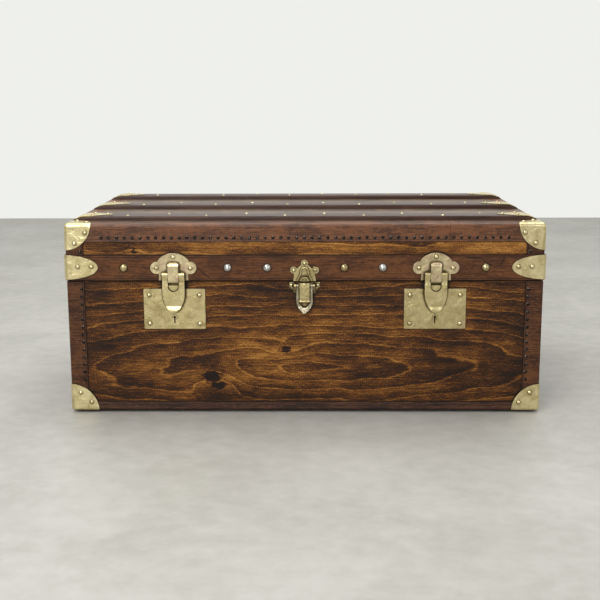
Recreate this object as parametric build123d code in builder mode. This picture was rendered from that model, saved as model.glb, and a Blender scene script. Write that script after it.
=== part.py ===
from build123d import *
import os

# Steamer trunk in millimetres. +X is the right-hand end, +Y the back and +Z up.
# The origin is on the floor, below the middle of the case.

os.makedirs("parts", exist_ok=True)

# Case: pine boards inside leather bindings
width = 810.0             # over the bindings, end to end
depth = 495.0             # over the bindings, front to back
height = 330.0            # floor to the top of the lid's leather edge
board = 9.0               # thickness of every pine panel
leather = 2.0             # thickness of the bindings
board_radius = 3.0        # rounding of the boards' outer edges
split = 232.0             # height where the lid meets the body
split_gap = 1.0
runner_height = 6.0       # hardwood runners under the bottom
runner_width = 40.0
slat_pitch = 180.0        # between the slats on the lid, and between the runners
lining = 0.8
lip_thickness = 6.0
lip_bottom = 205.0
lip_top = 240.0

# Leather: edge strips, corner strips and the lid's wide band
edge_strip = 30.0         # leg of the lid's edge strips
corner_strip = 29.5       # leg of the upright corner strips
bottom_strip = 15.4       # upright leg of the bottom strips
bottom_flap = 20.0
band_bottom = 234.0
band_top = 276.0
band_thickness = 4.0
seam = 0.4                # gap where two strips meet
front_seams = (-12.0, 245.0)

# Pressed brass
cap_thickness = 1.2
lid_cap_radius = 45.8
body_cap_radius = 49.0
clamp_length = 58.0
clamp_half_height = 21.0
clamp_height = 256.5
plate = 1.6               # flat plates and hinge leaves

# Slats on the lid
slat_width = 43.0
slat_top = 338.0
slat_end = 400.0
slat_nose = 24.0
clip_thickness = 1.0
clip_length = 66.0

# Locks and hasps
lock_offset = 222.0       # of each lock from the middle
lock_plate_width = 105.5
lock_plate_height = 70.0
lock_plate_middle = 184.0
lock_plate_thickness = 1.5
lock_case_width = 60.0
lock_case_bottom = 158.0
lock_case_top = 229.0
lock_case_depth = 11.0
lock_case_wall = 1.2
notch_width = 6.0         # for the hasp's staple, open at the top
notch_bottom = 204.0
keyhole_height = 170.0
keyhole_radius = 2.2
keyhole_slot = 2.0
keyhole_drop = 11.0
hasp_half_width = 18.7
hasp_slot = 9.4           # half the slot between the hasp's arms
hasp_slot_bottom = 215.3
hasp_shoulder = 214.0
hasp_tip = 179.5
hasp_back = 249.2
hasp_front = 256.0
hasp_pin_y = -254.9
hasp_pin_z = 244.4
hasp_knuckle = 3.5
hasp_pin_radius = 1.4
turning_gap = 0.3         # round a pin, in what turns on it
staple_z = 221.0
staple_thickness = 4.0
staple_height = 9.0
staple_end = -226.9
staple_eye = 2.6
bolt_y = -230.2
bolt_bar = 3.4
bolt_rest = 4.0           # from the lock's middle to the tip of the drawn-back bolt

# Draw latch in the middle
latch_pin_y = -251.8
lever_pin_z = 225.0
link_pin_z = 198.0
lever_half_width = 13.7
lever_arm = 3.4
link_half_width = 8.4
link_top = 229.2
latch_ear_inner = 14.6
latch_ear_outer = 17.2

# Hinges on the back
hinge_places = (-255.0, 0.0, 255.0)
hinge_half_width = 30.0
hinge_knuckle = 4.0
hinge_pin_radius = 2.0
hinge_upper_height = 36.0
hinge_lower_bottom = 196.0
hinge_knuckle_gap = 0.4
hinge_heel = 8.0

# Carrying handles on the ends
handle_half_span = 66.0
handle_pin_z = 188.0
handle_pin_x = 413.0
handle_drop = 52.0
handle_rod = 4.2
handle_eye = 5.0
handle_grip = 8.5
handle_grip_half = 44.0
handle_bend = 16.0

# Worked out from the above
case_x = width / 2 - leather
case_y = depth / 2 - leather
inner_x = case_x - board
inner_y = case_y - board
body_top = split - split_gap / 2
lid_bottom = split + split_gap / 2
lid_roof = height - leather
lid_ceiling = lid_roof - board
body_floor = runner_height + board
strip_bottom = runner_height - leather
lid_edge_bottom = height - edge_strip
band_y = case_y + band_thickness
hinge_y = band_y + hinge_knuckle
hinge_z = split
low = (Align.CENTER, Align.CENTER, Align.MIN)


def save(piece, name):
    """Label a finished piece and write its STEP file."""
    piece.part.label = name
    export_step(piece.part, f"parts/{name}.step")


def case_block(grow, bottom, top, rounded=None):
    """A block over the boards, grown outwards, with its upright edges and one end rounded."""
    with BuildPart() as block:
        with Locations((0, 0, bottom)):
            Box(2 * (case_x + grow), 2 * (case_y + grow), top - bottom, align=low)
        edges = block.edges().filter_by(Axis.Z)
        if rounded == "top":
            edges += block.faces().sort_by(Axis.Z)[-1].edges()
        if rounded == "bottom":
            edges += block.faces().sort_by(Axis.Z)[0].edges()
        fillet(edges, board_radius + grow)
    return block.part


def between(low_corner, high_corner, mode=Mode.ADD):
    """A box from one corner to the opposite one."""
    size = [abs(high - lower) for lower, high in zip(low_corner, high_corner)]
    middle = [(high + lower) / 2 for lower, high in zip(low_corner, high_corner)]
    with Locations(Vector(*middle)):
        Box(*size, mode=mode)


def mitre_cuts(bottom, top):
    """Cut thin diagonal gaps where four strips meet at the corners."""
    reach = 2 * edge_strip
    for x, y, turn in ((1, 1, 45), (-1, 1, 135), (-1, -1, 45), (1, -1, 135)):
        with Locations(Location((x * case_x, y * case_y, bottom), (0, 0, turn))):
            Box(2 * reach, seam, top - bottom, align=low, mode=Mode.SUBTRACT)


def face_plane(side, out, along=0.0, level=0.0):
    """A plane on an upright face: x along the face, y up and z outwards."""
    normals = {"front": (0, -1, 0), "back": (0, 1, 0), "left": (-1, 0, 0), "right": (1, 0, 0)}
    normal = Vector(*normals[side])
    along_dir = Vector(0, 0, 1).cross(normal)
    origin = normal * out + along_dir * along + Vector(0, 0, level)
    return Plane(origin=origin, x_dir=along_dir, z_dir=normal)


def dome_nail(head, rise, shank, length):
    """A domed nail with the underside of its head on the XY plane and its shank along -Z."""
    with BuildPart() as nail:
        with BuildSketch(Plane.XZ):
            with BuildLine():
                Polyline((0, -length), (shank / 2, -length), (shank / 2, 0), (head / 2, 0))
                TangentArc((0, rise), (head / 2, 0), tangent=(1, 0))
                Line((0, rise), (0, -length))
            make_face()
        revolve(axis=Axis.Z)
    return nail.part


def nail_group(groups):
    """All nails of one node: each group is a nail and the planes that it is driven through."""
    with BuildPart() as nails:
        for nail, planes in groups:
            with Locations(*planes):
                add(nail)
    return nails


def lock_cuts(centre, front, back):
    """Cut one lock's staple notch and keyhole through what lies from front to back."""
    half_notch = notch_width / 2
    between((centre - half_notch, front, notch_bottom), (centre + half_notch, back, lid_bottom), Mode.SUBTRACT)
    between(
        (centre - keyhole_slot / 2, front, keyhole_height - keyhole_drop),
        (centre + keyhole_slot / 2, back, keyhole_height),
        Mode.SUBTRACT,
    )
    with Locations(Location((centre, (front + back) / 2, keyhole_height), (90, 0, 0))):
        Cylinder(keyhole_radius, back - front, mode=Mode.SUBTRACT)


# ---------------------------------------------------------------- body: boards and lining

body_block = case_block(0, runner_height, body_top, "bottom")

with BuildPart() as body_bottom_panel:
    add(body_block)
    between((-width, -depth, body_floor), (width, depth, height), Mode.SUBTRACT)
save(body_bottom_panel, "body_bottom_panel")

with BuildPart() as body_front_panel:
    add(body_block)
    between((-width, -depth, body_floor), (width, -inner_y, body_top), Mode.INTERSECT)
    for lock in (-lock_offset, lock_offset):
        lock_cuts(lock, -case_y - 1, -inner_y + 1)
save(body_front_panel, "body_front_panel")

with BuildPart() as body_back_panel:
    add(body_block)
    between((-width, inner_y, body_floor), (width, depth, body_top), Mode.INTERSECT)
save(body_back_panel, "body_back_panel")

for side, name in ((-1, "left"), (1, "right")):
    with BuildPart() as body_end_panel:
        between((side * inner_x, -inner_y, body_floor), (side * case_x, inner_y, body_top))
    save(body_end_panel, f"body_{name}_panel")

with BuildPart() as body_lining:
    between((-inner_x, -inner_y, body_floor), (inner_x, inner_y, body_top))
    between(
        (lining - inner_x, lining - inner_y, body_floor + lining),
        (inner_x - lining, inner_y - lining, height),
        Mode.SUBTRACT,
    )
    for lock in (-lock_offset, lock_offset):
        lock_cuts(lock, -inner_y - 1, -inner_y + lining + 1)
save(body_lining, "body_lining")

# The lip stands above the joint and keeps the lid in line. It is open where the lock cases are.
lip_x = inner_x - lining
lip_y = inner_y - lining
with BuildPart() as body_rim_lip:
    between((-lip_x, -lip_y, lip_bottom), (lip_x, lip_y, lip_top))
    between(
        (lip_thickness - lip_x, lip_thickness - lip_y, lip_bottom - 1),
        (lip_x - lip_thickness, lip_y - lip_thickness, lip_top + 1),
        Mode.SUBTRACT,
    )
    for lock in (-lock_offset, lock_offset):
        with Locations((lock, -lip_y, (lip_bottom + lip_top) / 2)):
            Box(lock_case_width + 2, 3 * lip_thickness, 2 * (lip_top - lip_bottom), mode=Mode.SUBTRACT)
save(body_rim_lip, "body_rim_lip")

with BuildPart() as bottom_runners:
    with Locations(*[(0, place * slat_pitch, 0) for place in (-1, 0, 1)]):
        Box(2 * (case_x - bottom_flap), runner_width, runner_height, align=low)
    fillet(bottom_runners.edges().filter_by(Axis.Y), 2)
save(bottom_runners, "bottom_runners")

# ---------------------------------------------------------------- body: leather and brass corners

strip_top = strip_bottom + bottom_strip

with BuildPart() as bottom_groove:
    add(case_block(leather + 1, strip_bottom + 9.3, strip_bottom + 10.1))
    add(case_block(leather - 0.5, strip_bottom + 9.0, strip_bottom + 10.4), mode=Mode.SUBTRACT)

with BuildPart() as body_bottom_bindings:
    add(case_block(leather, strip_bottom, strip_top + board, "bottom"))
    add(case_block(0, runner_height, strip_top + 2 * board, "bottom"), mode=Mode.SUBTRACT)
    between((-width, -depth, strip_top), (width, depth, height), Mode.SUBTRACT)
    open_x = width / 2 - bottom_flap
    open_y = depth / 2 - bottom_flap
    between((-open_x, -open_y, 0), (open_x, open_y, strip_top), Mode.SUBTRACT)
    mitre_cuts(0, height)
    add(bottom_groove.part, mode=Mode.SUBTRACT)
save(body_bottom_bindings, "body_bottom_bindings")


def corner_strips(bottom, top):
    """Four L-shaped leather strips on the upright corners."""
    with BuildPart() as strips:
        add(case_block(leather, bottom, top))
        add(case_block(0, bottom - 1, top + 1), mode=Mode.SUBTRACT)
        open_along = width / 2 - corner_strip
        open_across = depth / 2 - corner_strip
        between((-open_along, -depth, bottom), (open_along, depth, top), Mode.SUBTRACT)
        between((-width, -open_across, bottom), (width, open_across, top), Mode.SUBTRACT)
    return strips


body_corner_bindings = corner_strips(strip_top, body_top)
save(body_corner_bindings, "body_corner_bindings")

cap_outer = leather + cap_thickness
cap_x = case_x + cap_outer
cap_y = case_y + cap_outer
body_cap_z = runner_height - cap_outer

with BuildPart() as body_corner_caps:
    add(case_block(cap_outer, body_cap_z, split, "bottom"))
    add(case_block(leather, strip_bottom, height, "bottom"), mode=Mode.SUBTRACT)
    with Locations((-cap_x, -cap_y, body_cap_z)):
        Sphere(body_cap_radius, mode=Mode.INTERSECT)
    mirror(about=Plane.XZ)
    mirror(about=Plane.YZ)
save(body_corner_caps, "body_corner_caps")

# ---------------------------------------------------------------- lid: boards and lining

lid_block = case_block(0, lid_bottom, lid_roof, "top")

# The top board stands flush with the edge strips let in round it
top_field = (width / 2 - edge_strip - 1, depth / 2 - edge_strip - 1)

with BuildPart() as lid_top_panel:
    add(lid_block)
    between((-width, -depth, 0), (width, depth, lid_ceiling), Mode.SUBTRACT)
    between((-top_field[0], -top_field[1], lid_ceiling), (*top_field, height))
save(lid_top_panel, "lid_top_panel")

for side, name in ((-1, "front"), (1, "back")):
    with BuildPart() as lid_long_rim:
        add(lid_block)
        between((-width, side * inner_y, 0), (width, side * depth, lid_ceiling), Mode.INTERSECT)
    save(lid_long_rim, f"lid_{name}_rim")

for side, name in ((-1, "left"), (1, "right")):
    with BuildPart() as lid_end_rim:
        between((side * inner_x, -inner_y, lid_bottom), (side * case_x, inner_y, lid_ceiling))
    save(lid_end_rim, f"lid_{name}_rim")

with BuildPart() as lid_lining:
    between((-inner_x, -inner_y, lip_top + 2), (inner_x, inner_y, lid_ceiling))
    between(
        (lining - inner_x, lining - inner_y, 0),
        (inner_x - lining, inner_y - lining, lid_ceiling - lining),
        Mode.SUBTRACT,
    )
save(lid_lining, "lid_lining")

# ---------------------------------------------------------------- lid: leather, band and brass corners

with BuildPart() as lid_edge_bindings:
    add(case_block(leather, lid_bottom, height, "top"))
    add(lid_block, mode=Mode.SUBTRACT)
    between((-width, -depth, 0), (width, depth, lid_edge_bottom), Mode.SUBTRACT)
    open_x = width / 2 - edge_strip - 1
    open_y = depth / 2 - edge_strip - 1
    between((-open_x, -open_y, 0), (open_x, open_y, 2 * height), Mode.SUBTRACT)
    mitre_cuts(0, 2 * height)
    for place in front_seams:
        between((place, -depth, 0), (place + seam, 0, 2 * height), Mode.SUBTRACT)
save(lid_edge_bindings, "lid_edge_bindings")

lid_corner_bindings = corner_strips(band_top, lid_edge_bottom)
save(lid_corner_bindings, "lid_corner_bindings")

with BuildPart() as lid_bands:
    add(case_block(band_thickness, band_bottom, band_top))
    chamfer(lid_bands.faces().filter_by(Axis.Z).edges(), 0.8)
    add(case_block(0, band_bottom - 1, band_top + 1), mode=Mode.SUBTRACT)
    mitre_cuts(0, height)
save(lid_bands, "lid_bands")

lid_cap_z = lid_roof + cap_outer

with BuildPart() as lid_corner_caps:
    add(case_block(cap_outer, split, lid_cap_z, "top"))
    add(case_block(leather, 0, height, "top"), mode=Mode.SUBTRACT)
    with Locations((-cap_x, -cap_y, lid_cap_z)):
        Sphere(lid_cap_radius, mode=Mode.INTERSECT)
    mirror(about=Plane.XZ)
    mirror(about=Plane.YZ)
save(lid_corner_caps, "lid_corner_caps")

# Each clamp wraps a corner of the band, with a bullet-shaped flap on either face.
with BuildPart() as clamp_form:
    with BuildSketch(Plane.XZ):
        Ellipse(clamp_length, clamp_half_height)
        with Locations((-clamp_length, 0)):
            Rectangle(2 * clamp_length, 3 * clamp_half_height, mode=Mode.SUBTRACT)
    revolve(axis=Axis.Z)

clamp_outer = band_thickness + cap_thickness
with BuildPart() as band_corner_clamps:
    add(case_block(clamp_outer, 0, height))
    add(case_block(band_thickness, 0, height), mode=Mode.SUBTRACT)
    with Locations((-case_x - clamp_outer, -case_y - clamp_outer, clamp_height)):
        add(clamp_form.part, mode=Mode.INTERSECT)
    mirror(about=Plane.XZ)
    mirror(about=Plane.YZ)
save(band_corner_clamps, "band_corner_clamps")

# ---------------------------------------------------------------- slats on the lid


def slat_outline(grow):
    """Half of a slat's side view, from the middle to its rounded nose."""
    top = slat_top + grow
    end = slat_end + grow
    with BuildLine() as outline:
        Line((0, top), (end - slat_nose, top))
        TangentArc((end - slat_nose, top), (end, height), tangent=(1, 0))
        Polyline((end, height), (0, height), (0, top))
    make_face(outline.edges())


def clip_outline():
    """A clip seen from above: as wide as the slat at the nose, with a rounded tip."""
    inner = slat_end - clip_length
    tip = 9.0
    with BuildLine() as outline:
        Polyline((inner + tip, tip), (inner + 30, slat_width / 2), (width, slat_width / 2))
        Polyline((width, slat_width / 2), (width, -slat_width / 2), (inner + 30, -slat_width / 2))
        Line((inner + 30, -slat_width / 2), (inner + tip, -tip))
        ThreePointArc((inner + tip, -tip), (inner, 0), (inner + tip, tip))
    make_face(outline.edges())


for place, name in ((-1, "front"), (0, "middle"), (1, "rear")):
    with BuildPart() as slat:
        with BuildSketch(Plane.XZ.offset(-place * slat_pitch)):
            slat_outline(0)
        extrude(amount=slat_width / 2, both=True)
        fillet(slat.edges().filter_by(Axis.X).group_by(Axis.Z)[-1], 3)
        mirror(about=Plane.YZ)
    save(slat, f"slat_{name}")

with BuildPart() as slat_end_clips:
    with BuildSketch(Plane.XZ):
        slat_outline(clip_thickness)
    extrude(amount=slat_width / 2, both=True)
    with BuildSketch(Plane.XZ):
        slat_outline(0)
    extrude(amount=slat_width, both=True, mode=Mode.SUBTRACT)
    with BuildSketch(Plane.XY.offset(height)):
        clip_outline()
    extrude(amount=board * 2, mode=Mode.INTERSECT)
    mirror(about=Plane.YZ)

with BuildPart() as all_end_clips:
    with Locations(*[(0, place * slat_pitch, 0) for place in (-1, 0, 1)]):
        add(slat_end_clips.part)
save(all_end_clips, "slat_end_clips")

# ---------------------------------------------------------------- locks

for lock, name in ((-lock_offset, "left"), (lock_offset, "right")):
    with BuildPart() as lock_plate:
        with BuildSketch(Plane.XZ.offset(case_y)):
            with Locations((lock, lock_plate_middle)):
                RectangleRounded(lock_plate_width, lock_plate_height, 2)
        extrude(amount=lock_plate_thickness)
        chamfer(lock_plate.faces().sort_by(Axis.Y)[0].edges(), 0.5)
        with BuildSketch(Plane.XZ.offset(case_y + lock_plate_thickness)):
            with Locations((lock, keyhole_height)):
                Circle(2 * keyhole_radius)
        extrude(amount=0.9, taper=25)
        lock_cuts(lock, -case_y - 4, -case_y + 1)
    save(lock_plate, f"lock_plate_{name}")

    case_front = -inner_y + lining
    case_back = case_front + lock_case_depth
    half_case = lock_case_width / 2
    with BuildPart() as lock_case:
        between(
            (lock - half_case, case_front, lock_case_bottom),
            (lock + half_case, case_back, lock_case_top),
        )
        fillet(lock_case.edges().filter_by(Axis.Y), 4)
        between(
            (lock - half_case + lock_case_wall, case_front + lock_case_wall, lock_case_bottom + lock_case_wall),
            (lock + half_case - lock_case_wall, case_back - lock_case_wall, lock_case_top - lock_case_wall),
            Mode.SUBTRACT,
        )
        lock_cuts(lock, case_front - 1, case_front + 2)
        between(
            (lock - notch_width / 2, case_front - 1, lock_case_top - 3),
            (lock + notch_width / 2, case_back - lock_case_wall, lock_case_top + 1),
            Mode.SUBTRACT,
        )
    save(lock_case, f"lock_case_{name}")

    with BuildPart() as lock_bolt:
        between(
            (lock + bolt_rest, bolt_y - bolt_bar / 2, staple_z - bolt_bar / 2),
            (lock + 17, bolt_y + bolt_bar / 2, staple_z + bolt_bar / 2),
        )
        between((lock + 16, bolt_y - 3, staple_z - 8), (lock + 27, bolt_y + 3, staple_z + 5))
        with Locations(Location((lock + 21.5, bolt_y, staple_z - 8), (90, 0, 0))):
            Cylinder(3, 8, mode=Mode.SUBTRACT)
    save(lock_bolt, f"lock_bolt_{name}")

# ---------------------------------------------------------------- hasps

with BuildPart() as hasp_plate_form:
    with BuildSketch(Plane.XZ.offset(band_y)):
        with Locations((0, 248)):
            Rectangle(50.4, 28)
        with Locations((-28.5, 255.5), (28.5, 255.5)):
            Circle(10.8)
        with BuildLine():
            Polyline((26.5, 268), (26.5, 255), (-26.5, 255), (-26.5, 268))
            ThreePointArc((-26.5, 268), (0, 281), (26.5, 268))
        make_face()
    extrude(amount=plate)
    chamfer(hasp_plate_form.faces().sort_by(Axis.Y)[0].edges(), 0.5)
    # The tongue that carries the pin stands out from the plate and is rounded at the top.
    with BuildSketch(Plane.XZ.offset(band_y + plate / 2)):
        with BuildLine():
            Polyline((-8.9, 263), (-8.9, 231.3), (8.9, 231.3), (8.9, 263))
            ThreePointArc((8.9, 263), (0, 266), (-8.9, 263))
        make_face()
    extrude(amount=12)
    with BuildSketch(Plane.YZ):
        with BuildLine():
            Polyline((-band_y, 300), (-band_y, 230), (-256.6, 230), (-257.8, 233), (-257.8, 258))
            ThreePointArc((-257.8, 258), (-256.2, 263), (-251.2, 265.6))
            Polyline((-251.2, 265.6), (-band_y - plate, 300), (-band_y, 300))
        make_face()
    extrude(amount=60, both=True, mode=Mode.INTERSECT)
    with Locations(Location((0, hasp_pin_y, hasp_pin_z), (0, 90, 0))):
        Cylinder(hasp_pin_radius, 30, mode=Mode.SUBTRACT)

with BuildPart() as hasp_form:
    with BuildSketch(Plane.XZ.offset(hasp_back - 2)):
        with BuildLine():
            Polyline((-hasp_half_width, hasp_shoulder), (-hasp_half_width, 249), (hasp_half_width, 249))
            Line((hasp_half_width, 249), (hasp_half_width, hasp_shoulder))
            ThreePointArc((hasp_half_width, hasp_shoulder), (15.6, 196), (8.5, 183.6))
            ThreePointArc((8.5, 183.6), (0, hasp_tip), (-8.5, 183.6))
            ThreePointArc((-8.5, 183.6), (-15.6, 196), (-hasp_half_width, hasp_shoulder))
        make_face()
        with Locations((0, hasp_slot_bottom + hasp_slot)):
            Circle(hasp_slot, mode=Mode.SUBTRACT)
        with Locations((0, hasp_slot_bottom + hasp_slot + 20)):
            Rectangle(2 * hasp_slot, 40, mode=Mode.SUBTRACT)
    extrude(amount=14)
    # Side view: a round knuckle on the pin, a flat body and a thumb lip at the tip.
    with BuildSketch(Plane.YZ):
        with BuildLine():
            Polyline(
                (hasp_pin_y + hasp_knuckle, hasp_pin_z),
                (hasp_pin_y + hasp_knuckle, 232),
                (-hasp_back, 229.5),
                (-hasp_back, hasp_tip - 1),
                (-257.6, hasp_tip - 1),
            )
            ThreePointArc((-257.6, hasp_tip - 1), (-258.4, 184), (-hasp_front + 0.4, 191))
            ThreePointArc((-hasp_front + 0.4, 191), (-hasp_front - 0.6, 212), (-hasp_front, 233))
            Line((-hasp_front, 233), (hasp_pin_y - hasp_knuckle, hasp_pin_z))
            ThreePointArc(
                (hasp_pin_y - hasp_knuckle, hasp_pin_z),
                (hasp_pin_y, hasp_pin_z + hasp_knuckle),
                (hasp_pin_y + hasp_knuckle, hasp_pin_z),
            )
        make_face()
    extrude(amount=30, both=True, mode=Mode.INTERSECT)
    with Locations(Location((0, hasp_pin_y, hasp_pin_z), (0, 90, 0))):
        Cylinder(hasp_pin_radius + turning_gap, 60, mode=Mode.SUBTRACT)

# The staple's D-shaped face fills the bottom of the hasp's slot; its eye goes into the lock.
with BuildPart() as staple_form:
    with BuildSketch(Plane.XZ.offset(hasp_back)):
        with Locations((0, hasp_slot_bottom + hasp_slot)):
            Circle(hasp_slot - 0.5)
        with Locations((0, 226.9 + 20)):
            Rectangle(40, 40, mode=Mode.SUBTRACT)
    extrude(amount=5.9)
    chamfer(staple_form.faces().sort_by(Axis.Y)[0].edges(), 0.8)
    between((-13, -hasp_back, 212), (13, -hasp_back + plate, 229))
    between(
        (-staple_thickness / 2, -hasp_back, staple_z - staple_height / 2),
        (staple_thickness / 2, staple_end, staple_z + staple_height / 2),
    )
    fillet(staple_form.edges().filter_by(Axis.X).group_by(Axis.Y)[-1], 3)
    with Locations(Location((0, bolt_y, staple_z), (0, 90, 0))):
        Cylinder(staple_eye, 20, mode=Mode.SUBTRACT)

for lock, name in ((-lock_offset, "left"), (lock_offset, "right")):
    with BuildPart() as hasp_plate:
        with Locations((lock, 0, 0)):
            add(hasp_plate_form.part)
    save(hasp_plate, f"hasp_plate_{name}")
    with BuildPart() as hasp:
        with Locations((lock, 0, 0)):
            add(hasp_form.part)
    save(hasp, f"hasp_{name}")
    with BuildPart() as hasp_staple:
        with Locations((lock, 0, 0)):
            add(staple_form.part)
    save(hasp_staple, f"hasp_staple_{name}")

with BuildPart() as hasp_pins:
    for lock in (-lock_offset, lock_offset):
        with Locations(Location((lock, hasp_pin_y, hasp_pin_z), (0, 90, 0))):
            Cylinder(hasp_pin_radius, 2 * hasp_half_width)
save(hasp_pins, "hasp_pins")

# ---------------------------------------------------------------- draw latch


def bell(shrink):
    """The bell-shaped outline embossed on the catch, drawn in by shrink."""
    with Locations((0, 250)):
        Circle(8 - shrink)
    with BuildLine() as outline:
        Polyline(
            (shrink - 14.5, 232.8), (14.5 - shrink, 232.8), (7.4 - shrink, 248),
            (shrink - 7.4, 248), (shrink - 14.5, 232.8),
        )
    make_face(outline.edges())


with BuildPart() as latch_catch:
    with BuildSketch(Plane.XZ.offset(band_y)):
        with BuildLine():
            Polyline((-19.5, 232.8), (19.5, 232.8), (17, 250), (7, 260), (-7, 260), (-17, 250), (-19.5, 232.8))
        make_face()
        with Locations((0, 263.3), (-18.3, 251.5), (18.3, 251.5)):
            Circle(6.3)
    extrude(amount=plate)
    chamfer(latch_catch.faces().sort_by(Axis.Y)[0].edges(), 0.4)
    with BuildSketch(Plane.XZ.offset(band_y + plate)):
        bell(0)
    extrude(amount=1.4, taper=20)
    with BuildSketch(Plane.XZ.offset(band_y + plate)):
        bell(2.6)
    extrude(amount=3, mode=Mode.SUBTRACT)
    with BuildSketch(Plane.XZ.offset(band_y + plate)):
        with Locations((0, 232.8)):
            Circle(8.4)
            with Locations((0, -10)):
                Rectangle(40, 20, mode=Mode.SUBTRACT)
    extrude(amount=3.6, taper=8)
    with BuildSketch(Plane.XZ.offset(band_y + plate + 2.8)):
        with Locations((0, 232.8)):
            Circle(5.6)
            with Locations((0, -8.5)):
                Rectangle(40, 20, mode=Mode.SUBTRACT)
    extrude(amount=3, mode=Mode.SUBTRACT)
save(latch_catch, "latch_catch")

with BuildPart() as latch_base:
    with BuildSketch(Plane.XZ.offset(case_y)):
        with BuildLine():
            Polyline((0, 230.8), (26, 230.8), (26, 222))
            ThreePointArc((26, 222), (20.5, 217.8), (18.4, 212))
            Polyline((18.4, 212), (12, 210), (10, 192), (0, 188), (0, 230.8))
        make_face()
        mirror(about=Plane.YZ)
    extrude(amount=lock_plate_thickness)
    chamfer(latch_base.faces().sort_by(Axis.Y)[0].edges(), 0.4)
    with BuildSketch(Plane.YZ.offset(latch_ear_inner)):
        with Locations((latch_pin_y, lever_pin_z)):
            Circle(3.4)
        with BuildLine():
            Polyline(
                (-case_y - 0.5, 213), (-case_y - 3, 213), (latch_pin_y - 3.4, lever_pin_z),
                (latch_pin_y - 2.4, 227.4), (-case_y - 0.5, 230.4), (-case_y - 0.5, 213),
            )
        make_face()
    extrude(amount=latch_ear_outer - latch_ear_inner)
    mirror(about=Plane.YZ)
    with Locations(Location((0, latch_pin_y, lever_pin_z), (0, 90, 0))):
        Cylinder(hasp_pin_radius, 60, mode=Mode.SUBTRACT)
save(latch_base, "latch_base")

lever_inner = lever_half_width - lever_arm
rivet_middle = (latch_ear_outer + lever_inner) / 2
with BuildPart() as latch_rivets:
    for place in (-rivet_middle, rivet_middle):
        with Locations(Location((place, latch_pin_y, lever_pin_z), (0, 90, 0))):
            Cylinder(hasp_pin_radius, latch_ear_outer - lever_inner)
save(latch_rivets, "latch_rivets")

with BuildPart() as latch_lever:
    with BuildSketch(Plane.XZ.offset(-latch_pin_y - 4)):
        with BuildLine():
            Polyline((0, 230), (lever_half_width, 230), (lever_half_width, 197))
            ThreePointArc((lever_half_width, 197), (10.5, 187.5), (4, 180.4))
            ThreePointArc((4, 180.4), (2.2, 178.4), (0, 178))
            Line((0, 178), (0, 230))
        make_face()
        mirror(about=Plane.YZ)
        with BuildLine():
            Polyline((0, 231), (lever_inner, 231), (lever_inner, 196), (3, 187), (-3, 187))
            Polyline((-3, 187), (-lever_inner, 196), (-lever_inner, 231), (0, 231))
        make_face(mode=Mode.SUBTRACT)
    extrude(amount=9)
    with BuildSketch(Plane.YZ):
        with Locations((latch_pin_y, lever_pin_z)):
            Circle(3.2)
        with BuildLine():
            Polyline(
                (latch_pin_y + 1.7, lever_pin_z), (latch_pin_y + 1.7, 190), (latch_pin_y + 0.6, 177),
                (latch_pin_y - 4.2, 177), (latch_pin_y - 1.7, 190), (latch_pin_y - 1.7, lever_pin_z),
                (latch_pin_y + 1.7, lever_pin_z),
            )
        make_face()
    extrude(amount=30, both=True, mode=Mode.INTERSECT)
    with Locations(Location((0, latch_pin_y, lever_pin_z), (0, 90, 0))):
        Cylinder(hasp_pin_radius + turning_gap, 60, mode=Mode.SUBTRACT)
    with Locations(Location((0, latch_pin_y, link_pin_z), (0, 90, 0))):
        Cylinder(1.2, 60, mode=Mode.SUBTRACT)
save(latch_lever, "latch_lever")

with BuildPart() as latch_link_pin:
    with Locations(Location((0, latch_pin_y, link_pin_z), (0, 90, 0))):
        Cylinder(1.2, 2 * lever_half_width)
save(latch_link_pin, "latch_link_pin")

with BuildPart() as latch_link:
    with BuildSketch(Plane.YZ):
        with Locations((latch_pin_y, link_pin_z)):
            Circle(2.6)
        with BuildLine():
            Polyline(
                (latch_pin_y + 1.2, link_pin_z), (latch_pin_y + 1.2, link_top), (latch_pin_y - 0.6, link_top),
                (latch_pin_y - 1.2, link_top - 1.4), (latch_pin_y - 1.6, 214), (latch_pin_y - 1.2, link_pin_z),
                (latch_pin_y + 1.2, link_pin_z),
            )
        make_face()
        with Locations((latch_pin_y, link_pin_z)):
            Circle(1.5, mode=Mode.SUBTRACT)
    extrude(amount=link_half_width, both=True)
save(latch_link, "latch_link")

# ---------------------------------------------------------------- hinges

knuckle_step = 2 * hinge_half_width / 5
lower_knuckles = (-2, 0, 2)
upper_knuckles = (-1, 1)


def knuckles(numbers, bore):
    """Round knuckles, with their webs, at the given fifths of a hinge's width."""
    for number in numbers:
        with BuildSketch(Plane.YZ.offset(number * knuckle_step)) as section:
            with Locations((hinge_y, hinge_z)):
                Circle(hinge_knuckle)
            if bore > hinge_pin_radius:
                with Locations((band_y + plate / 2, hinge_z + 4)):
                    Rectangle(plate, 8)
            else:
                with BuildLine():
                    Polyline(
                        (case_y, 224), (case_y + plate, 222), (hinge_y + 1, hinge_z - 3.8),
                        (hinge_y + hinge_heel, hinge_z - 3.2), (hinge_y + hinge_heel, hinge_z - 0.4),
                        (hinge_y, hinge_z), (hinge_y - 4, hinge_z - 0.8), (case_y, 229), (case_y, 224),
                    )
                make_face()
            with Locations((hinge_y, hinge_z)):
                Circle(bore, mode=Mode.SUBTRACT)
        extrude(section.sketch, amount=(knuckle_step - hinge_knuckle_gap) / 2, both=True)


with BuildPart() as upper_leaf_form:
    with BuildSketch(face_plane("back", band_y, 0, hinge_z + 6)):
        with Locations((0, (hinge_upper_height - 6) / 2)):
            Rectangle(2 * hinge_half_width, hinge_upper_height - 6)
    extrude(amount=plate)
    knuckles(upper_knuckles, hinge_pin_radius + turning_gap)

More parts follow.
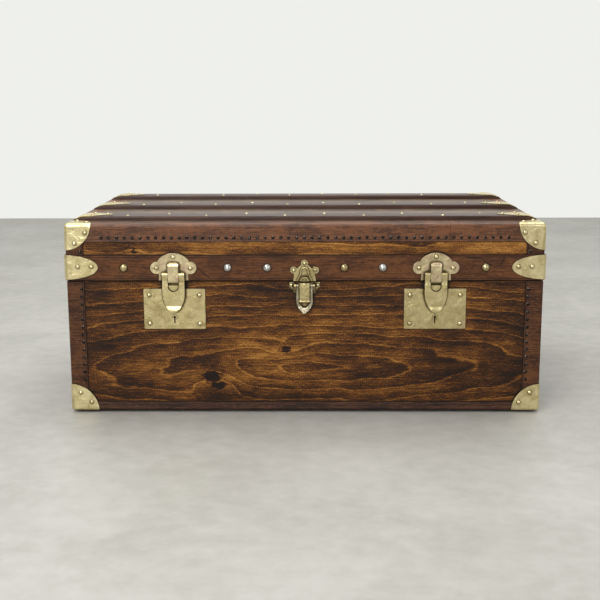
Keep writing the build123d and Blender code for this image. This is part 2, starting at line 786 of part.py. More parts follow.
with BuildPart() as lower_leaf_form:
    with BuildSketch(face_plane("back", case_y, 0, hinge_lower_bottom)):
        with Locations((0, 15)):
            Rectangle(2 * hinge_half_width, 30)
    extrude(amount=plate)
    knuckles(lower_knuckles, hinge_pin_radius)

with BuildPart() as hinge_upper_leaves:
    with Locations(*[(place, 0, 0) for place in hinge_places]):
        add(upper_leaf_form.part)
save(hinge_upper_leaves, "hinge_upper_leaves")

with BuildPart() as hinge_lower_leaves:
    with Locations(*[(place, 0, 0) for place in hinge_places]):
        add(lower_leaf_form.part)
save(hinge_lower_leaves, "hinge_lower_leaves")

with BuildPart() as hinge_pins:
    with Locations(*[Location((place, hinge_y, hinge_z), (0, 90, 0)) for place in hinge_places]):
        Cylinder(hinge_pin_radius, 2 * hinge_half_width)
save(hinge_pins, "hinge_pins")

# ---------------------------------------------------------------- carrying handles

bail_bottom = handle_pin_z - handle_drop

with BuildPart() as bail_form:
    with BuildLine():
        FilletPolyline(
            (handle_pin_x, -handle_half_span, handle_pin_z),
            (handle_pin_x, -handle_half_span, bail_bottom),
            (handle_pin_x, handle_half_span, bail_bottom),
            (handle_pin_x, handle_half_span, handle_pin_z),
            radius=handle_bend,
        )
    with BuildSketch(Plane(origin=(handle_pin_x, -handle_half_span, handle_pin_z), z_dir=(0, 0, -1))):
        Circle(handle_rod)
    sweep()
    with Locations(
        Location((handle_pin_x, -handle_half_span, handle_pin_z), (90, 0, 0)),
        Location((handle_pin_x, handle_half_span, handle_pin_z), (90, 0, 0)),
    ):
        Cylinder(handle_eye, 2 * handle_eye - 0.6)
    with Locations(Location((handle_pin_x, 0, handle_pin_z), (90, 0, 0))):
        Cylinder(hinge_pin_radius + 0.4, 3 * handle_half_span, mode=Mode.SUBTRACT)

# A stuffed leather grip, fullest in the middle, on the straight part of the rod.
with BuildPart() as grip_form:
    with BuildSketch(Plane.YZ.offset(handle_pin_x)):
        with BuildLine():
            Polyline((handle_grip_half, bail_bottom), (-handle_grip_half, bail_bottom))
            Line((-handle_grip_half, bail_bottom), (-handle_grip_half, bail_bottom + 5.6))
            ThreePointArc(
                (-handle_grip_half, bail_bottom + 5.6),
                (0, bail_bottom + handle_grip),
                (handle_grip_half, bail_bottom + 5.6),
            )
            Line((handle_grip_half, bail_bottom + 5.6), (handle_grip_half, bail_bottom))
        make_face()
    revolve(axis=Axis((handle_pin_x, 0, bail_bottom), (0, 1, 0)))
    with Locations(Location((handle_pin_x, 0, bail_bottom), (90, 0, 0))):
        Cylinder(handle_rod, 3 * handle_grip_half, mode=Mode.SUBTRACT)

with BuildPart() as bracket_form:
    with BuildSketch(face_plane("right", case_x, 0, handle_pin_z)):
        RectangleRounded(30, 46, 8)
    extrude(amount=plate)
    with BuildSketch(Plane.XZ):
        with Locations((handle_pin_x, handle_pin_z)):
            Circle(4.6)
        with Locations(((case_x + 1 + handle_pin_x) / 2, handle_pin_z)):
            Rectangle(handle_pin_x - case_x - 1, 9.2)
    extrude(amount=8, both=True)
    with Locations((handle_pin_x, 0, handle_pin_z)):
        Box(2 * (handle_pin_x - case_x - plate), 10, 30, mode=Mode.SUBTRACT)
    with Locations(Location((handle_pin_x, 0, handle_pin_z), (90, 0, 0))):
        Cylinder(hinge_pin_radius, 40, mode=Mode.SUBTRACT)

bracket_planes = [(0, -handle_half_span, 0), (0, handle_half_span, 0)]

with BuildPart() as handle_brackets:
    with Locations(*bracket_planes):
        add(bracket_form.part)
    mirror(about=Plane.YZ)
save(handle_brackets, "handle_brackets")

with BuildPart() as handle_pins:
    for side in (-1, 1):
        for end in (-1, 1):
            place = (side * handle_pin_x, end * handle_half_span, handle_pin_z)
            with Locations(Location(place, (90, 0, 0))):
                Cylinder(hinge_pin_radius, 17)
save(handle_pins, "handle_pins")

with BuildPart() as handle_bail_right:
    add(bail_form.part)
save(handle_bail_right, "handle_bail_right")
with BuildPart() as handle_grip_right:
    add(grip_form.part)
save(handle_grip_right, "handle_grip_right")
with BuildPart() as handle_bail_left:
    add(bail_form.part.mirror(Plane.YZ))
save(handle_bail_left, "handle_bail_left")
with BuildPart() as handle_grip_left:
    add(grip_form.part.mirror(Plane.YZ))
save(handle_grip_left, "handle_grip_left")

# ---------------------------------------------------------------- nails and studs

tack = dome_nail(6.0, 1.0, 1.4, 6.5)
round_nail = dome_nail(8.0, 2.4, 2.0, 7.0)
small_nail = dome_nail(6.4, 2.0, 1.6, 7.0)
stud = dome_nail(15.0, 5.0, 2.6, 10.0)
tack_step = 13.2
all_sides = ("front", "back", "left", "right")
long_sides = ("front", "back")


def half_along(side):
    """Half the length of one side of the case, over the bindings."""
    return width / 2 if side in long_sides else depth / 2


def out_to(side, grow):
    """How far one side's face is from the middle, grown outwards from the boards."""
    return (case_y if side in long_sides else case_x) + grow


def row(count, step):
    """Places in an even row about the middle."""
    return [(number - (count - 1) / 2) * step for number in range(count)]


# Small dark tacks along the leather strips
lid_tacks = []
body_tacks = []
for side in all_sides:
    half = half_along(side)
    face = out_to(side, leather)
    count = int((2 * half - 2 * lid_cap_radius - 6) / tack_step)
    for place in row(count, tack_step):
        lid_tacks.append(face_plane(side, face, place, lid_edge_bottom + 6.7))
    for end in (-1, 1):
        place = end * (half - corner_strip + 4.3)
        lid_tacks.append(face_plane(side, face, place, lid_edge_bottom - 17.5))
        for number in range(13):
            level = body_cap_radius + 11 + number * tack_step
            body_tacks.append(face_plane(side, face, place, level))

lid_binding_nails = nail_group([(tack, lid_tacks)])
save(lid_binding_nails, "lid_binding_nails")
body_binding_nails = nail_group([(tack, body_tacks)])
save(body_binding_nails, "body_binding_nails")

# Large domed studs along the band
stud_places = {
    "front": (-306.5, -130.2, -63.4, 67.5, 132.5, 306.0),
    "back": (-318.0, -166.0, -88.0, 88.0, 166.0, 318.0),
    "left": (-120.0, 0.0, 120.0),
    "right": (-120.0, 0.0, 120.0),
}
stud_planes = []
for side, places in stud_places.items():
    for place in places:
        stud_planes.append(face_plane(side, out_to(side, band_thickness), place, clamp_height - 1))
band_studs = nail_group([(stud, stud_planes)])
save(band_studs, "band_studs")

# Two nails in each flap of the corner caps, measured from the corner
cap_nails = ((35.0, 15.0), (16.4, 32.5))


def cap_nail_planes(top_or_bottom, corner_z):
    """Nails through the upright flaps of four corner caps."""
    planes = []
    for side in all_sides:
        half = half_along(side)
        face = out_to(side, cap_outer)
        for end in (-1, 1):
            for along, up in cap_nails:
                planes.append(face_plane(side, face, end * (half - along), corner_z - top_or_bottom * up))
    return planes


lid_nails = cap_nail_planes(1, height)
body_nails = cap_nail_planes(-1, strip_bottom)
for x_end in (-1, 1):
    for y_end in (-1, 1):
        for along, across in ((35.0, 15.0), (15.0, 35.0)):
            place = (x_end * (width / 2 - along), y_end * (depth / 2 - across), lid_cap_z)
            lid_nails.append(Plane(origin=place))

# Two nails in each flap of the band's clamps
for side in all_sides:
    for end in (-1, 1):
        for along in (21.0, 44.0):
            place = end * (half_along(side) - along)
            lid_nails.append(face_plane(side, out_to(side, clamp_outer), place, clamp_height + 1))

# Locks, hasps and latch
for lock in (-lock_offset, lock_offset):
    for along in (-42.8, 42.8):
        for level in (lock_plate_middle - 25.4, lock_plate_middle + 24.0):
            body_nails.append(face_plane("front", case_y + lock_plate_thickness, lock + along, level))
    for along, level in ((0, 274.2), (-28.6, 255.2), (28.6, 255.2)):
        lid_nails.append(face_plane("front", band_y + plate, lock + along, level))

small_lid_nails = []
for along, level in ((0, 263.3), (-18.3, 251.5), (18.3, 251.5)):
    small_lid_nails.append(face_plane("front", band_y + plate, along, level))
small_body_nails = []
for along in (-22.4, 22.4):
    small_body_nails.append(face_plane("front", case_y + lock_plate_thickness, along, 225.4))

# Hinge leaves and handle brackets
for place in hinge_places:
    for along in (-22.0, 0.0, 22.0):
        across = 5.0 if along == 0 else 0.0
        small_lid_nails.append(face_plane("back", band_y + plate, along - place, 257.0 - across))
        small_body_nails.append(face_plane("back", case_y + plate, along - place, 207.0 - across))
for side in ("left", "right"):
    for place in (-handle_half_span, handle_half_span):
        for level in (-17.5, 17.5):
            small_body_nails.append(face_plane(side, case_x + plate, place, handle_pin_z + level))

# Three nails in each clip: two across its wide end and one at its tip
for place in (-slat_pitch, 0, slat_pitch):
    for end in (-1, 1):
        for inset, across in ((33.0, -14.0), (33.0, 14.0), (57.0, 0.0)):
            nail_place = (end * (slat_end - inset), place + across, slat_top + clip_thickness)
            small_lid_nails.append(Plane(origin=nail_place))

lid_hardware_nails = nail_group([(round_nail, lid_nails), (small_nail, small_lid_nails)])
save(lid_hardware_nails, "lid_hardware_nails")
body_hardware_nails = nail_group([(round_nail, body_nails), (small_nail, small_body_nails)])
save(body_hardware_nails, "body_hardware_nails")

# Nails in two staggered rows hold each slat
slat_nail = dome_nail(5.6, 1.4, 2.0, 16.0)
slat_planes = []
for place in (-slat_pitch, 0, slat_pitch):
    for number, along in enumerate(row(10, 68.0)):
        across = 14.0 if number % 2 else -14.0
        slat_planes.append(Plane(origin=(along, place + across, slat_top)))
slat_nails = nail_group([(slat_nail, slat_planes)])
save(slat_nails, "slat_nails")
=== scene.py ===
import math

import bpy
from mathutils import Matrix, Vector


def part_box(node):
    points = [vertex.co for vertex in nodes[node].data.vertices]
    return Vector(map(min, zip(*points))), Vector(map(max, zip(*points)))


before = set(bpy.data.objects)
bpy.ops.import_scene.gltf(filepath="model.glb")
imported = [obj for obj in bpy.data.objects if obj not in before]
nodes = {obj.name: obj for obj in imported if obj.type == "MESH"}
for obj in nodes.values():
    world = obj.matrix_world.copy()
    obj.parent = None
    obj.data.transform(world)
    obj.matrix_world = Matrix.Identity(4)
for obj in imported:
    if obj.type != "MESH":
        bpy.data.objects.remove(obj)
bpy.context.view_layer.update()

scene = bpy.context.scene
scene.view_settings.view_transform = "Standard"

MM = 1000    # millimetres in a metre: the frame is in metres, and the materials below count in millimetres


# ---------------------------------------------------------------- shader helpers


class Value:
    """What a shader node gives out. Arithmetic with it adds Math nodes to its graph."""

    def __init__(self, graph, socket):
        self.graph = graph
        self.socket = socket

    def __add__(self, other):
        return self.graph.math("ADD", self, other)

    def __radd__(self, other):
        return self.graph.math("ADD", other, self)

    def __sub__(self, other):
        return self.graph.math("SUBTRACT", self, other)

    def __rsub__(self, other):
        return self.graph.math("SUBTRACT", other, self)

    def __mul__(self, other):
        return self.graph.math("MULTIPLY", self, other)

    def __truediv__(self, other):
        return self.graph.math("DIVIDE", self, other)

    def __abs__(self):
        return self.graph.math("ABSOLUTE", self)


class Graph:
    """One material's nodes. Its axes are the row frame's X, Y and Z, in millimetres."""

    def __init__(self, name):
        self.material = bpy.data.materials.new(name)
        self.material.use_nodes = True
        self.tree = self.material.node_tree
        self.tree.nodes.clear()
        output = self.tree.nodes.new("ShaderNodeOutputMaterial")
        self.shader = self.tree.nodes.new("ShaderNodeBsdfPrincipled")
        self.tree.links.new(self.shader.outputs[0], output.inputs["Surface"])
        metres = self.node("ShaderNodeTexCoord", {}, "Object")
        place = self.node("ShaderNodeVectorMath", {0: metres, 1: (MM, MM, MM)}, operation="MULTIPLY")
        self.axes = self.split(place)

    def feed(self, node, inputs):
        """Link a node's inputs to values, and set the others to plain numbers or colours."""
        for key, value in inputs.items():
            if isinstance(value, Value):
                self.tree.links.new(value.socket, node.inputs[key])
            else:
                node.inputs[key].default_value = value

    def node(self, kind, inputs, output=0, **settings):
        """Add a node, feed its inputs and give one of its outputs."""
        made = self.tree.nodes.new(kind)
        for key, value in settings.items():
            setattr(made, key, value)
        self.feed(made, inputs)
        return Value(self, made.outputs[output])

    def split(self, vector):
        """The X, Y and Z of a vector, by name."""
        made = self.tree.nodes.new("ShaderNodeSeparateXYZ")
        self.feed(made, {0: vector})
        return {axis: Value(self, made.outputs[axis]) for axis in "XYZ"}

    def vector(self, x, y, z):
        return self.node("ShaderNodeCombineXYZ", {0: x, 1: y, 2: z})

    def facing(self):
        """The X, Y and Z of the way the surface faces on the object at rest."""
        return self.split(self.node("ShaderNodeTexCoord", {}, "Normal"))

    def math(self, operation, first, second=0.0):
        return self.node("ShaderNodeMath", {0: first, 1: second}, operation=operation)

    def larger(self, first, second):
        return self.math("MAXIMUM", first, second)

    def length(self, first, second):
        """The long side of a right triangle with these two short sides."""
        return self.math("SQRT", first * first + second * second)

    def step(self, value, low, high):
        """0 below low and 1 above high, smooth between. low may be the larger one."""
        return self.node("ShaderNodeMapRange", {"Value": value, "From Min": low, "From Max": high},
                         interpolation_type="SMOOTHSTEP")

    def noise(self, vector, detail=4.0, roughness=0.55, distortion=0.0):
        """Cloudy noise, from 0 to 1 but mostly near 0.5, with grains one unit of the vector wide."""
        inputs = {"Vector": vector, "Scale": 1.0, "Detail": detail, "Roughness": roughness,
                  "Distortion": distortion}
        return self.node("ShaderNodeTexNoise", inputs)

    def scaled(self, size_x, size_y, size_z, seed=0.0):
        """The place measured in grains of the given size, in millimetres. Another seed is another place."""
        x = self.axes["X"] * (1 / size_x) + seed
        y = self.axes["Y"] * (1 / size_y) + seed * 1.7
        z = self.axes["Z"] * (1 / size_z) + seed * 0.6
        return self.vector(x, y, z)

    def mix(self, factor, first, second):
        """first where the factor is 0 and second where it is 1. Each is a value or a (red, green, blue)."""
        first, second = [shade if isinstance(shade, Value) else (*shade, 1) for shade in (first, second)]
        return self.node("ShaderNodeMix", {0: factor, 6: first, 7: second}, 2, data_type="RGBA")

    def ramp(self, factor, stops):
        """A colour from a row of (position, (red, green, blue)) stops."""
        made = self.tree.nodes.new("ShaderNodeValToRGB")
        self.feed(made, {0: factor})
        elements = made.color_ramp.elements
        while len(elements) < len(stops):
            elements.new(0.5)
        for element, (position, shade) in zip(elements, stops):
            element.position = position
            element.color = (*shade, 1)
        return Value(self, made.outputs[0])

    def painted_shade_mask(self, reach, unshaded, fully_shaded):
        """A mask of painted shade: 1 in corners and gaps and 0 in the open, looking reach millimetres around.

        The two numbers after reach are how open a place is where the painted shade begins and where it is
        full."""
        # Ambient occlusion finds where shade falls, and the materials paint it in as darker colour
        openness = self.node("ShaderNodeAmbientOcclusion", {"Distance": reach / MM}, "AO")
        return self.step(openness, unshaded, fully_shaded)

    def bump(self, height, distance, strength=1.0, normal=None):
        """A bump whose full height is distance, in millimetres, on top of another bump if one is given."""
        inputs = {"Height": height, "Distance": distance / MM, "Strength": strength}
        if normal:
            inputs["Normal"] = normal
        return self.node("ShaderNodeBump", inputs)

    def finish(self, **sockets):
        """Feed the shader's own sockets, with _ for each space in their names, and give the material."""
        self.feed(self.shader, {name.replace("_", " "): value for name, value in sockets.items()})
        return self.material


def lighter(shade, times, more=0.0):
    """A (red, green, blue) multiplied, and then raised by the same amount in each part."""
    return [times * part + more for part in shade]


def dress(material, *names):
    """Give CAD nodes a material in every slot."""
    for name in names:
        for material_slot in nodes[name].material_slots:
            material_slot.material = material


# ---------------------------------------------------------------- wood

STAINED_PINE = (          # from the thickest stain to the thinnest
    (0.10, (0.008, 0.004, 0.002)),
    (0.32, (0.033, 0.011, 0.003)),
    (0.50, (0.105, 0.036, 0.006)),
    (0.70, (0.245, 0.098, 0.016)),
    (0.95, (0.440, 0.215, 0.050)),
)
MIDDLE_TONE = 0.445       # where on that ramp plain wood lies
RING_WIDTH = 17           # from one growth ring to the next, in millimetres
SAW_MARKS = 1.75          # radians of saw marks per millimetre: one mark every 3.6 mm
# the colour of the painted shade in the pine's corners and gaps
WOOD_PAINTED_SHADE = (0.010, 0.006, 0.004)


def pine(name, along, across, heart, tone=0.0, seed=0.0, knots=(), patches=(), stretch=0.16, gloss=0.42):
    """Dark stained pine, flat sawn: long nested arches about the heart, streaks, saw marks and knots.

    along and across are the board's two axes, and places on it are pairs of those, in millimetres. A smaller
    stretch makes longer arches. A knot is (along, across, radius), and a patch of thinner or thicker stain is
    (along, across, reach along, reach across, how much lighter)."""
    g = Graph(name)
    a = g.axes[along]
    c = g.axes[across]
    heart_a, heart_c = heart

    def pattern(size_a, size_c, shift):
        """Noise with grains of the given size along and across the board."""
        return g.noise(g.vector(a / size_a, c / size_c, seed + shift))

    # The distance from the tree's heart, bent by slow waves and small ripples and pushed out round the knots
    wave = (pattern(220, 70, 0.3) - 0.5) * 36
    ripple = (pattern(90, 24, 5.1) - 0.5) * 4
    radius = g.length(c - heart_c + (wave + ripple), (a - heart_a) * stretch)
    knot_core = 0.0
    halo = 0.0
    for knot_a, knot_c, size in knots:
        reach = g.length((a - knot_a) * 0.6, c - knot_c + ripple)
        ragged = reach + (pattern(9, 6, 2.2) - 0.5) * 16
        knot_core = g.larger(knot_core, g.step(ragged, size, 0.35 * size))
        halo = g.larger(halo, g.step(ragged, 2.4 * size, 1.1 * size))
        radius = radius + g.step(reach, 4 * size, 0) * (1.4 * size)

    # From 0 to 1, a ring starts with a thin bright line and darkens slowly until just before its end
    ring = g.math("FRACT", radius / RING_WIDTH + pattern(90, 30, 8.0))
    late_wood = g.step(ring, 0.35, 0.9) * g.step(ring, 1.0, 0.95)
    bright_line = g.step(ring, 0.0, 0.03) * g.step(ring, 0.14, 0.04)

    # Stain and surface, from broad to fine
    blotch = pattern(120, 46, 17.0)
    cloud = pattern(24, 11, 41.0)
    fibre = pattern(9, 0.8, 3.0)
    streak = pattern(45, 1.7, 11.0)
    fleck = pattern(1.2, 3.4, 37.0)
    speck = g.step(pattern(3.2, 2.2, 23.0), 0.62, 0.72)
    sawn = g.step(pattern(60, 30, 29.0), 0.4, 0.62)
    saw_mark = g.math("SINE", a * SAW_MARKS + blotch * 14) * sawn

    layers = ((blotch, 0.8), (cloud, 0.4), (fibre, 0.75), (streak, 0.8), (fleck, 1.0))
    value = MIDDLE_TONE + tone
    for layer, weight in layers:
        value = value + (layer - 0.5) * weight
    value = value - late_wood * 0.13 + bright_line * 0.2 + saw_mark * 0.03 - speck * 0.16
    for patch_a, patch_c, reach_a, reach_c, amount in patches:
        off_a = (a - patch_a) / reach_a
        off_c = (c - patch_c) / reach_c
        value = value + g.step(off_a * off_a + off_c * off_c, 1, 0) * amount
    if knots:
        value = value + halo * 0.1 - knot_core * 0.55

    # Painted shade: the wood darkens towards a near black in corners and gaps
    base = g.mix(g.painted_shade_mask(12, 0.95, 0.55), g.ramp(value, STAINED_PINE), WOOD_PAINTED_SHADE)
    height = fibre * 0.5 + streak * 0.6 - speck * 0.35
    return g.finish(Base_Color=base, Roughness=blotch * 0.22 + gloss, Normal=g.bump(height, 0.3, 0.7),
                    Specular_IOR_Level=0.2)


def plain_wood(name, light, dark):
    """Bare or painted wood with fine straight grain along X and a few worn, lighter places."""
    g = Graph(name)
    fibre = g.noise(g.scaled(40, 1.1, 1.1))
    broad = g.noise(g.scaled(160, 9, 9, 4.0))
    worn = g.step(g.noise(g.scaled(18, 5, 5, 9.0)), 0.6, 0.72)
    base = g.mix(g.step(fibre * 0.6 + broad * 0.5, 0.38, 0.72), dark, light)
    base = g.mix(worn * 0.35, base, lighter(light, 2.2))
    return g.finish(Base_Color=base, Roughness=broad * 0.25 + 0.25, Normal=g.bump(fibre, 0.15, 0.6),
                    Specular_IOR_Level=0.35)


# ---------------------------------------------------------------- leather, metal and cloth

# the colour of the tooled creases and cracks, and of the painted shade in corners and gaps
LEATHER_CREASE_AND_SHADE = (0.012, 0.007, 0.006)
SILVERY = (0.50, 0.50, 0.48)
COPPERY = (0.56, 0.40, 0.30)
BROWN_SPOT = (0.24, 0.17, 0.075)
# the dark where brass parts meet: partly tarnish and partly painted shade
TARNISH_AND_SHADE = (0.055, 0.036, 0.014)


def off_line(g, start, end):
    """How far a place is from the line between two (X, Z) points, in millimetres."""
    run = Vector(end) - Vector(start)
    from_x = g.axes["X"] - start[0]
    from_z = g.axes["Z"] - start[1]
    covered = from_x * (run.x / run.length_squared) + from_z * (run.y / run.length_squared)
    covered = g.math("MINIMUM", g.larger(covered, 0.0), 1.0)
    return g.length(from_x - covered * run.x, from_z - covered * run.y)


def hide(name, light, dark, creases=(), cracks=(), gloss=0.36, specular=0.3):
    """Old leather with fine pores, scuffs, and painted shade where parts meet.

    A crease is a tooled line at one distance along an axis, on both sides of the middle, given as (axis,
    distance, width) in millimetres. A crack is a chain of (X, Z) points on the front."""
    g = Graph(name)
    pores = g.node("ShaderNodeTexVoronoi", {"Vector": g.scaled(0.9, 0.9, 0.9), "Scale": 1.0}, "Distance")
    cloud = g.noise(g.scaled(60, 40, 22, 2.0))
    fine = g.noise(g.scaled(7, 7, 4, 6.0), 6.0)
    drag = g.noise(g.scaled(34, 34, 1.6, 12.0))
    shade = cloud * 0.6 + fine * 0.4 + (drag - 0.5) * 0.8
    base = g.mix(g.step(shade, 0.39, 0.62), dark, light)
    scuff = g.step(g.noise(g.scaled(9, 9, 3, 31.0), 7.0), 0.56, 0.68)
    base = g.mix(scuff * 0.3, base, lighter(light, 1.9, 0.02))

    line = 0.0
    for axis, distance, width in creases:
        gap = abs(abs(g.axes[axis]) - distance)
        line = g.larger(line, g.step(gap, width, 0.3 * width))
    for crack in cracks:
        only_front = g.step(g.axes["Y"], -1, 1) * 100
        for start, end in zip(crack, crack[1:]):
            gap = off_line(g, start, end) + only_front + fine
            line = g.larger(line, g.step(gap, 1.9, 0.9))

    # Creases and cracks are real dark lines, and the darkening in corners and gaps is painted shade
    creases_and_shade = g.larger(g.painted_shade_mask(7, 0.95, 0.5), line * 0.85)
    height = fine * 0.7 - pores * 0.35 - line
    return g.finish(Base_Color=g.mix(creases_and_shade, base, LEATHER_CREASE_AND_SHADE), Roughness=fine * 0.28 + gloss,
                    Normal=g.bump(height, 0.3, 0.7), Specular_IOR_Level=specular)


def brass(name, bright, dull, blush=0.0, rough=0.24, seed=0.0, worn=()):
    """Aged brass: uneven polish, small dents, fine scratches, and dark tarnish with painted shade where parts
    meet.

    blush is how strong its coppery patches are. worn lists the places along X where it has worn to a silvery
    metal."""
    g = Graph(name)
    cloud = g.noise(g.scaled(16, 16, 16, seed), 5.0, 0.6, 0.4)
    spots = g.noise(g.scaled(3.2, 3.2, 3.2, seed + 4.0), 6.0)
    brushed = g.noise(g.scaled(1.0, 14, 0.35, seed + 8.0))
    tinge = g.step(g.noise(g.scaled(11, 11, 11, seed + 14.0)), 0.48, 0.66)
    base = g.mix(g.step(cloud, 0.36, 0.7), bright, dull)
    for place in worn:
        base = g.mix(g.step(abs(g.axes["X"] - place), 12, 10), base, SILVERY)
    base = g.mix(tinge * blush, base, COPPERY)
    base = g.mix(g.step(spots, 0.54, 0.7) * 0.35, base, BROWN_SPOT)
    # Where parts meet, the brass darkens: partly real tarnish and partly painted shade
    base = g.mix(g.painted_shade_mask(6, 0.985, 0.72) * 0.85, base, TARNISH_AND_SHADE)
    dents = g.bump(cloud, 2.4, 0.8)
    return g.finish(Base_Color=base, Metallic=1.0, Roughness=(cloud + spots) * 0.13 + rough,
                    Normal=g.bump(spots * 0.4 + brushed * 0.3, 0.12, 0.5, dents))


def dark_metal(name, bright, dark, rough):
    """Blackened iron or steel with worn, brighter patches."""
    g = Graph(name)
    worn = g.step(g.noise(g.scaled(3, 3, 3), 5.0), 0.48, 0.66)
    fine = g.noise(g.scaled(0.8, 0.8, 0.8, 3.0))
    return g.finish(Base_Color=g.mix(worn, dark, bright), Metallic=0.9, Roughness=fine * 0.25 + rough,
                    Normal=g.bump(fine, 0.1, 0.5))


def ticking(name):
    """Pale woven lining with narrow upright stripes and age stains."""
    g = Graph(name)
    threads = 5.2             # radians of weave per millimetre: one thread every 1.2 mm
    stripes = 0.42            # radians of stripes per millimetre: one stripe every 15 mm
    facing = g.facing()
    on_end = g.step(abs(facing["X"]), 0.5, 0.6)
    lying = g.step(abs(facing["Z"]), 0.5, 0.6)
    along = g.axes["X"] * (1.0 - on_end) + g.axes["Y"] * on_end
    across = g.axes["Z"] * (1.0 - lying) + g.axes["Y"] * lying
    weave = g.math("SINE", along * threads) * g.math("SINE", across * threads)
    stripe = g.step(g.math("SINE", along * stripes), 0.75, 0.85)
    stains = g.step(g.noise(g.scaled(70, 70, 70), 6.0), 0.5, 0.75)
    base = g.mix(stripe, (0.50, 0.44, 0.33), (0.27, 0.17, 0.12))
    base = g.mix(stains * 0.6, base, (0.30, 0.22, 0.13))
    return g.finish(Base_Color=base, Roughness=0.85, Normal=g.bump(weave, 0.15, 0.6), Sheen_Weight=0.2)


# ---------------------------------------------------------------- what each piece is made of

front_knots = ((-160, 64, 13), (-148, 48, 9), (-34, 112, 8))
front_patches = (
    (-40, 112, 170, 75, 0.09),            # the golden middle
    (400, 110, 240, 170, -0.12),          # the dark right-hand end
    (-400, 110, 130, 200, -0.08),         # the left-hand end
)
dress(pine("front_pine", "X", "Z", (17, 80), seed=1.0, knots=front_knots, patches=front_patches),
      "body_front_panel")
dress(pine("back_pine", "X", "Z", (-90, 130), tone=-0.03, seed=13.0, knots=((150, 120, 11), (-230, 60, 8))),
      "body_back_panel", "lid_back_rim")
dress(pine("end_pine", "Y", "Z", (30, 120), tone=-0.02, seed=19.0, knots=((-90, 90, 9),), stretch=0.2),
      "body_left_panel", "body_right_panel", "lid_left_rim", "lid_right_rim")
dress(pine("lid_front_pine", "X", "Z", (60, 300), tone=0.19, seed=7.0, knots=((-290, 284, 5),), stretch=0.05),
      "lid_front_rim")
dress(pine("bottom_pine", "X", "Y", (40, 90), tone=-0.1, seed=25.0, gloss=0.3),
      "body_bottom_panel")
dress(plain_wood("slat_wood", (0.075, 0.032, 0.018), (0.022, 0.009, 0.006)),
      "slat_front", "slat_middle", "slat_rear")
dress(plain_wood("bare_wood", (0.36, 0.22, 0.12), (0.20, 0.11, 0.06)),
      "body_rim_lip", "bottom_runners")

# Tooled lines run along the inner edges of the strips
band_low, band_high = [corner.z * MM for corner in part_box("lid_bands")]
edge_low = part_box("lid_edge_bindings")[0].z * MM
corner_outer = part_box("body_corner_bindings")[1] * MM
band_creases = (("Z", band_low + 2.6, 1.1), ("Z", band_high - 2.4, 1.1))
edge_creases = (("Z", edge_low + 2.6, 0.9),)
corner_creases = (("X", corner_outer.x - 27.4, 0.9), ("Y", corner_outer.y - 27.3, 0.9))
band_cracks = (
    ((-182, 257), (-172, 247), (-162, 239)),
    ((273, 272), (298, 272), (306, 264), (319, 257), (331, 260), (337, 272)),
)
dress(hide("band_leather", (0.120, 0.044, 0.014), (0.050, 0.018, 0.007), band_creases, band_cracks,
           specular=0.2),
      "lid_bands")
dress(hide("edge_leather", (0.150, 0.054, 0.018), (0.055, 0.019, 0.007), edge_creases, gloss=0.27,
           specular=0.4),
      "lid_edge_bindings")
dress(hide("top_leather", (0.135, 0.080, 0.040), (0.062, 0.038, 0.020), gloss=0.2, specular=0.85),
      "lid_top_panel")
dress(hide("corner_leather", (0.100, 0.039, 0.014), (0.036, 0.013, 0.006), corner_creases, specular=0.2),
      "body_corner_bindings", "lid_corner_bindings")
dress(hide("bottom_leather", (0.075, 0.030, 0.015), (0.022, 0.010, 0.006)),
      "body_bottom_bindings")
dress(hide("handle_leather", (0.10, 0.040, 0.020), (0.045, 0.018, 0.010), gloss=0.3),
      "handle_grip_left", "handle_grip_right")

polished = ((0.80, 0.70, 0.40), (0.54, 0.45, 0.21))
silvery_studs = (-130, -63, 134)
dress(brass("cap_brass", *polished, blush=0.1, rough=0.2),
      "lid_corner_caps", "band_corner_clamps", "body_corner_caps", "slat_end_clips")
dress(brass("bolt_brass", *polished, rough=0.3, seed=21.0),
      "lock_bolt_left", "lock_bolt_right")
dress(brass("plate_brass", (0.62, 0.52, 0.27), (0.42, 0.34, 0.155), blush=0.15, rough=0.22, seed=3.0),
      "lock_plate_left", "lock_plate_right", "handle_brackets", "hinge_lower_leaves", "hinge_upper_leaves")
dress(brass("blushed_brass", (0.68, 0.58, 0.34), (0.47, 0.36, 0.21), blush=0.6, rough=0.2, seed=5.0),
      "hasp_plate_left", "hasp_plate_right")
dress(brass("cast_brass", (0.68, 0.58, 0.31), (0.50, 0.41, 0.19), blush=0.1, rough=0.18, seed=8.0),
      "hasp_left", "hasp_right", "hasp_staple_left", "hasp_staple_right", "handle_bail_left",
      "handle_bail_right")
dress(brass("latch_brass", (0.56, 0.47, 0.24), (0.36, 0.29, 0.13), blush=0.05, rough=0.2, seed=27.0),
      "latch_base", "latch_catch", "latch_link")
dress(brass("lever_brass", (0.44, 0.40, 0.29), (0.27, 0.23, 0.14), blush=0.1, rough=0.22, seed=11.0),
      "latch_lever")
dress(brass("nail_brass", (0.72, 0.63, 0.37), (0.46, 0.37, 0.18), blush=0.1, rough=0.15, seed=14.0),
      "lid_hardware_nails", "body_hardware_nails", "slat_nails")
dress(brass("stud_brass", (0.56, 0.46, 0.25), (0.34, 0.27, 0.13), blush=0.1, rough=0.1, seed=17.0,
            worn=silvery_studs),
      "band_studs")

dress(dark_metal("blackened_iron", (0.10, 0.085, 0.075), (0.014, 0.011, 0.010), 0.22),
      "lid_binding_nails", "body_binding_nails")
dress(dark_metal("worn_steel", (0.42, 0.39, 0.34), (0.17, 0.15, 0.12), 0.28),
      "hinge_pins", "hasp_pins", "latch_rivets", "latch_link_pin", "handle_pins", "lock_case_left",
      "lock_case_right")
dress(ticking("ticking"),
      "body_lining", "lid_lining")


# ---------------------------------------------------------------- floor, light and camera, in metres


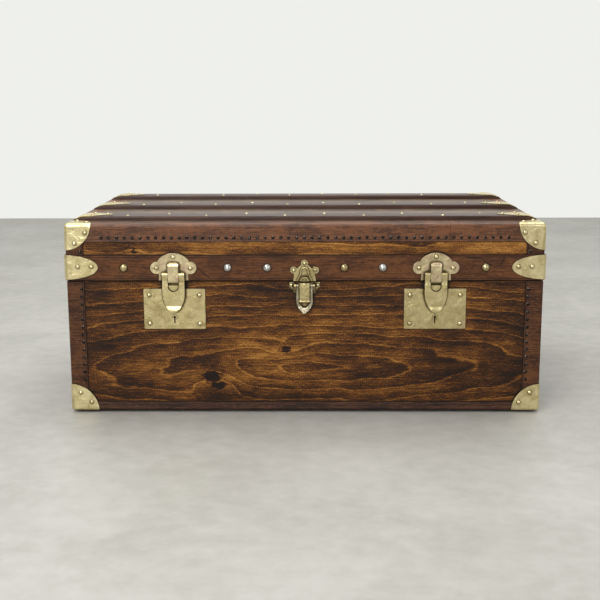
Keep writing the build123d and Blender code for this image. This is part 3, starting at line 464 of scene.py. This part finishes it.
def floor():
    """A plain pale stone floor with faint mottling."""
    half = 2.6
    corners = [(-half, -half, 0), (half, -half, 0), (half, half, 0), (-half, half, 0)]
    mesh = bpy.data.meshes.new("floor")
    mesh.from_pydata(corners, [], [(0, 1, 2, 3)])
    sheet = bpy.data.objects.new("floor", mesh)
    scene.collection.objects.link(sheet)
    g = Graph("pale_stone")
    cloud = g.noise(g.scaled(260, 260, 260), 8.0, 0.6, 0.5)
    fine = g.noise(g.scaled(30, 30, 30, 5.0), 6.0)
    mottling = g.step(cloud * 0.6 + fine * 0.4, 0.3, 0.7)
    base = g.mix(mottling, (0.33, 0.32, 0.29), (0.43, 0.42, 0.39))
    mesh.materials.append(g.finish(Base_Color=base, Roughness=0.5, Normal=g.bump(fine, 0.4, 0.3)))


def area_light(name, place, target, size, watts):
    """A soft rectangular light at a place, turned to a target."""
    light = bpy.data.lights.new(name, "AREA")
    light.shape = "RECTANGLE"
    light.size, light.size_y = size
    light.energy = watts
    lamp = bpy.data.objects.new(name, light)
    lamp.location = place
    lamp.rotation_euler = (Vector(target) - Vector(place)).to_track_quat("-Z", "Y").to_euler()
    scene.collection.objects.link(lamp)


def surroundings():
    """A pale room, whose far wall is the brightest and whose near side is dimmer."""
    near_shade = (0.46, 0.45, 0.43, 1)
    far_shade = (0.86, 0.87, 0.84, 1)
    near_side, far_side = -0.9, 0.6        # how far along Y a direction points where each shade is full
    world = bpy.data.worlds.new("room")
    world.use_nodes = True
    tree = world.node_tree
    coordinates = tree.nodes.new("ShaderNodeTexCoord")
    split = tree.nodes.new("ShaderNodeSeparateXYZ")
    spread = tree.nodes.new("ShaderNodeMapRange")
    spread.inputs["From Min"].default_value = near_side
    spread.inputs["From Max"].default_value = far_side
    ramp = tree.nodes.new("ShaderNodeValToRGB")
    for element, shade in zip(ramp.color_ramp.elements, (near_shade, far_shade)):
        element.color = shade
    background = tree.nodes["Background"]
    background.inputs["Strength"].default_value = 1.0
    tree.links.new(coordinates.outputs["Generated"], split.inputs[0])
    tree.links.new(split.outputs["Y"], spread.inputs[0])
    tree.links.new(spread.outputs[0], ramp.inputs[0])
    tree.links.new(ramp.outputs[0], background.inputs["Color"])
    scene.world = world


def camera():
    """The camera, a little above the trunk and almost straight in front of it. Its angles are in radians."""
    place = Vector((0.0130, -2.0100, 0.5501))
    turn = -0.0118        # to the right of +Y
    tilt = 0.1963         # below the horizon
    roll = -0.0029        # about the line of sight
    forward = Vector((math.sin(turn) * math.cos(tilt), math.cos(turn) * math.cos(tilt), -math.sin(tilt)))
    level = Vector((math.cos(turn), -math.sin(turn), 0))
    right = math.cos(roll) * level + math.sin(roll) * level.cross(forward)
    up = right.cross(forward)
    lens = bpy.data.cameras.new("camera")
    lens.sensor_width = 36
    lens.lens = 63.34
    eye = bpy.data.objects.new("camera", lens)
    axes = Matrix((right, up, -forward)).transposed().to_4x4()
    eye.matrix_world = Matrix.Translation(place) @ axes
    scene.collection.objects.link(eye)
    scene.camera = eye


floor()
surroundings()
camera()
trunk_middle = (0, 0, 0.2)
area_light("key", (-1.1, -2.0, 2.3), trunk_middle, (1.6, 1.2), 42)
area_light("front", (-0.7, -3.4, 1.35), trunk_middle, (1.6, 0.9), 32)
area_light("fill", (1.7, -2.0, 1.2), trunk_middle, (1.0, 1.0), 8)
area_light("top", (0, 0.5, 2.6), (0, 0, 0.3), (2.4, 1.6), 40)
